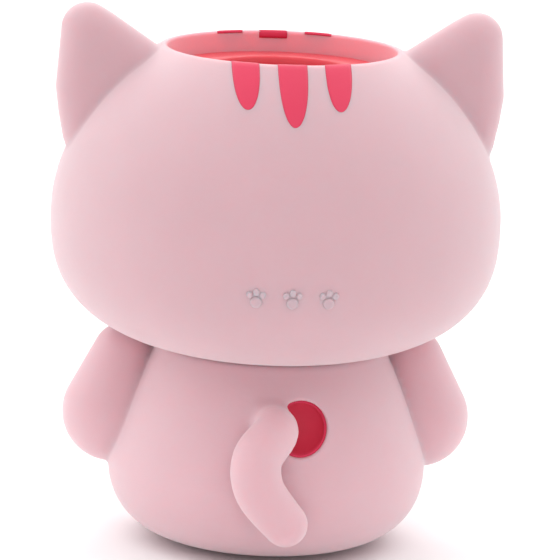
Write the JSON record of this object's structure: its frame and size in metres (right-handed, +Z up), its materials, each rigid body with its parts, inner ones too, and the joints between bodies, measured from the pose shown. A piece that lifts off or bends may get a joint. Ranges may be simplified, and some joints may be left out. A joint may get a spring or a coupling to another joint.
{
  "type": "pet grooming brush cup",
  "caption": "Open-topped kitten-shaped cup in soft pale pink, with a lift-out inner cup and a bristle-lined sleeve for washing and brushing a pet's paws or brush heads.",
  "frame": {"origin": "centre of the underside, on the surface that the cup stands on", "axes": "+Z up through the open top; the kitten's face is at +Y, its tail at -Y; +X is to the right of someone looking at its back"},
  "size_m": [0.0942, 0.0943, 0.113],
  "materials": {
    "pale_skin": "soft matte pale pink silicone",
    "tail_skin": "soft matte pale pink silicone, a little paler",
    "hot_pink": "soft matte hot pink silicone",
    "base_rubber": "matte non-slip rubber",
    "eye": "glossy dark brown",
    "cup_plastic": "satin deep pink",
    "sleeve_rubber": "soft matte coral pink silicone"
  },
  "bodies": {
    "shell": {"head_shell": "pale_skin", "torso_shell": "pale_skin", "left_ear": "pale_skin", "right_ear": "pale_skin", "left_ear_lining": "hot_pink", "right_ear_lining": "hot_pink", "left_arm": "pale_skin", "right_arm": "pale_skin", "tail": "tail_skin", "window_insert": "hot_pink", "base_pad": "base_rubber", "rear_left_stripe": "hot_pink", "rear_middle_stripe": "hot_pink", "rear_right_stripe": "hot_pink", "front_left_stripe": "hot_pink", "front_middle_stripe": "hot_pink", "front_right_stripe": "hot_pink", "left_eye": "eye", "right_eye": "eye", "nose": "hot_pink", "mouth": "hot_pink", "left_whiskers": "hot_pink", "right_whiskers": "hot_pink"},
    "cup": {"inner_cup": "cup_plastic"},
    "sleeve": {"brush_sleeve": "sleeve_rubber", "wall_bristles": "sleeve_rubber", "floor_bristles": "sleeve_rubber"}
  },
  "joints": [
    {"name": "cup_lift", "type": "slide", "parent": "shell", "child": "cup", "axis": [0, 0, 1], "range_m": [0, 0.11]},
    {"name": "sleeve_lift", "type": "slide", "parent": "cup", "child": "sleeve", "axis": [0, 0, 1], "range_m": [0, 0.11]}
  ]
}
